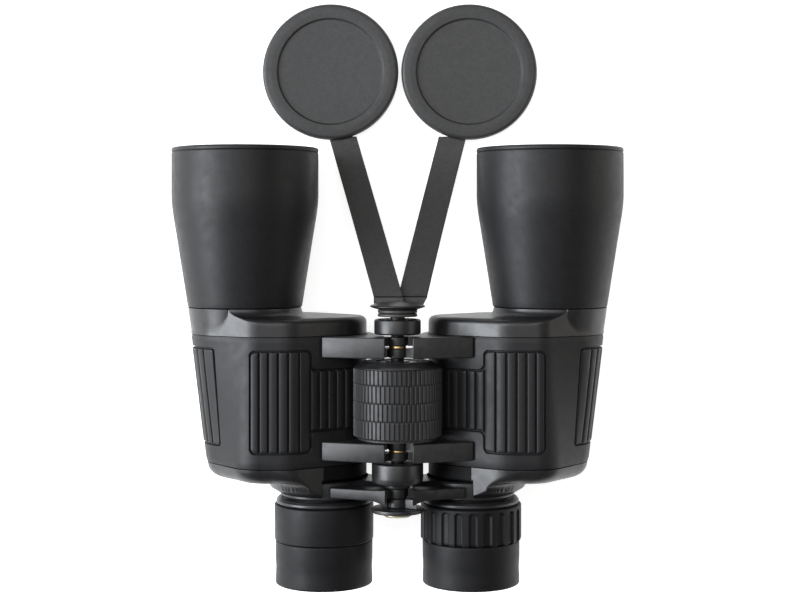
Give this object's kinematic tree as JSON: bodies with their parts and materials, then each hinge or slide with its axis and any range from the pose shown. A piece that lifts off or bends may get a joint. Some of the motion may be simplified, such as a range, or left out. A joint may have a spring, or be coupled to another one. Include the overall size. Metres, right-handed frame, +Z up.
{
  "type": "binoculars",
  "caption": "Rubber-armoured Porro-prism binoculars with centre focusing, a dioptre ring and two objective caps on straps.",
  "frame": {"origin": "on the surface that the binoculars lie on, under the middle of their outline, caps included; the hinge axis runs along Y, 51 mm above it", "axes": "+Y out of the objectives, +Z up through the focus wheel, +X towards the right barrel"},
  "size_m": [0.188, 0.2443, 0.0688],
  "materials": {
    "armour_rubber": "matte, fine grain",
    "grip_rubber": "matte, moulded ribs",
    "eyecup_rubber": "soft matte",
    "cap_rubber": "matte",
    "satin_black": "satin black anodised",
    "grained_black": "fine-grained black paint",
    "black_casting": "matte black",
    "bright_steel": "turned",
    "brass": "turned",
    "coated_glass": "coated",
    "prism_glass": "polished"
  },
  "bodies": {
    "left_barrel": {"left_armour": "armour_rubber", "left_prism_housing": "black_casting", "left_front_cover": "satin_black", "left_rear_cover": "satin_black", "left_objective_armour": "armour_rubber", "left_objective_barrel": "black_casting", "left_objective_cell": "black_casting", "left_objective_lens": "coated_glass", "left_prism_shelf": "black_casting", "left_front_prism": "prism_glass", "left_rear_prism": "prism_glass", "left_front_hinge_arm": "grained_black", "left_rear_hinge_arm": "grained_black", "hinge_axle": "bright_steel", "front_hinge_washer": "brass", "rear_hinge_washer": "brass", "front_collar": "satin_black", "tripod_socket": "brass", "rear_collar": "satin_black"},
    "right_barrel": {"right_armour": "armour_rubber", "right_prism_housing": "black_casting", "right_front_cover": "satin_black", "right_rear_cover": "satin_black", "right_objective_armour": "armour_rubber", "right_objective_barrel": "black_casting", "right_objective_cell": "black_casting", "right_objective_lens": "coated_glass", "right_prism_shelf": "black_casting", "right_front_prism": "prism_glass", "right_rear_prism": "prism_glass", "right_front_hinge_arm": "grained_black", "right_rear_hinge_arm": "grained_black"},
    "focus_wheel": {"focus_wheel": "satin_black", "focus_grip": "grip_rubber"},
    "bridge": {"focusing_spindle": "bright_steel", "left_bridge_arm": "satin_black", "left_eyepiece_tube": "black_casting", "left_eyepiece_sleeve": "grip_rubber", "left_eyecup": "eyecup_rubber", "left_field_lens": "coated_glass", "left_eye_lens": "coated_glass", "bridge_disc": "satin_black", "bridge_end_screw": "brass"},
    "right_eyepiece": {"right_bridge_arm": "satin_black", "right_eyepiece_tube": "black_casting", "right_field_lens": "coated_glass"},
    "diopter": {"diopter_ring": "grip_rubber", "right_eyecup": "eyecup_rubber"},
    "right_eye_cell": {"right_eye_cell": "black_casting", "right_eye_lens": "coated_glass"},
    "tripod_plug": {"tripod_plug": "satin_black"},
    "strap_rings": {"left_strap_ring": "cap_rubber", "right_strap_ring": "cap_rubber"},
    "straps": {"left_strap": "cap_rubber", "right_strap": "cap_rubber"},
    "left_cap": {"left_cap": "cap_rubber"},
    "right_cap": {"right_cap": "cap_rubber"}
  },
  "joints": [
    {"name": "ipd_hinge", "type": "hinge", "parent": "left_barrel", "child": "right_barrel", "pos_m": [0, 0, 0.051], "axis": [0, -1, 0], "range_deg": [-11, 43]},
    {"name": "focus_turn", "type": "hinge", "parent": "left_barrel", "child": "focus_wheel", "pos_m": [0, -0.045, 0.051], "axis": [0, 1, 0], "range_deg": [0, 360]},
    {"name": "focus_travel", "type": "slide", "parent": "left_barrel", "child": "bridge", "axis": [0, -1, 0], "range_m": [0, 0.0065]},
    {"name": "right_eyepiece_hinge", "type": "hinge", "parent": "bridge", "child": "right_eyepiece", "pos_m": [0, -0.0833, 0.051], "axis": [0, -1, 0], "range_deg": [-11, 43]},
    {"name": "diopter_turn", "type": "hinge", "parent": "right_eyepiece", "child": "diopter", "pos_m": [0.0306, -0.096, 0.0305], "axis": [0, 1, 0], "range_deg": [-60, 60]},
    {"name": "right_eye_travel", "type": "slide", "parent": "right_eyepiece", "child": "right_eye_cell", "axis": [0, -1, 0], "range_m": [-0.0015, 0.0015]},
    {"name": "tripod_plug_out", "type": "slide", "parent": "left_barrel", "child": "tripod_plug", "axis": [0, 1, 0], "range_m": [0, 0.008]},
    {"name": "strap_swivel", "type": "hinge", "parent": "tripod_plug", "child": "strap_rings", "pos_m": [0, -0.0095, 0.051], "axis": [0, 1, 0], "range_deg": [-2.4, 2.4]},
    {"name": "strap_lift", "type": "hinge", "parent": "strap_rings", "child": "straps", "pos_m": [0, -0.0034, 0.0389], "axis": [1, 0, 0], "range_deg": [0, 100]},
    {"name": "left_cap_fold", "type": "hinge", "parent": "straps", "child": "left_cap", "pos_m": [-0.0242, 0.063, 0.006], "axis": [1, 0, 0], "range_deg": [0, 60]},
    {"name": "right_cap_fold", "type": "hinge", "parent": "straps", "child": "right_cap", "pos_m": [0.0242, 0.063, 0.006], "axis": [1, 0, 0], "range_deg": [0, 60]}
  ],
  "couplings": [
    {"joint": "focus_turn", "follows": "focus_travel", "rad_per_m": 966.6},
    {"joint": "right_eyepiece_hinge", "follows": "ipd_hinge", "ratio": 1},
    {"joint": "right_eye_travel", "follows": "diopter_turn", "m_per_rad": 0.001432}
  ]
}
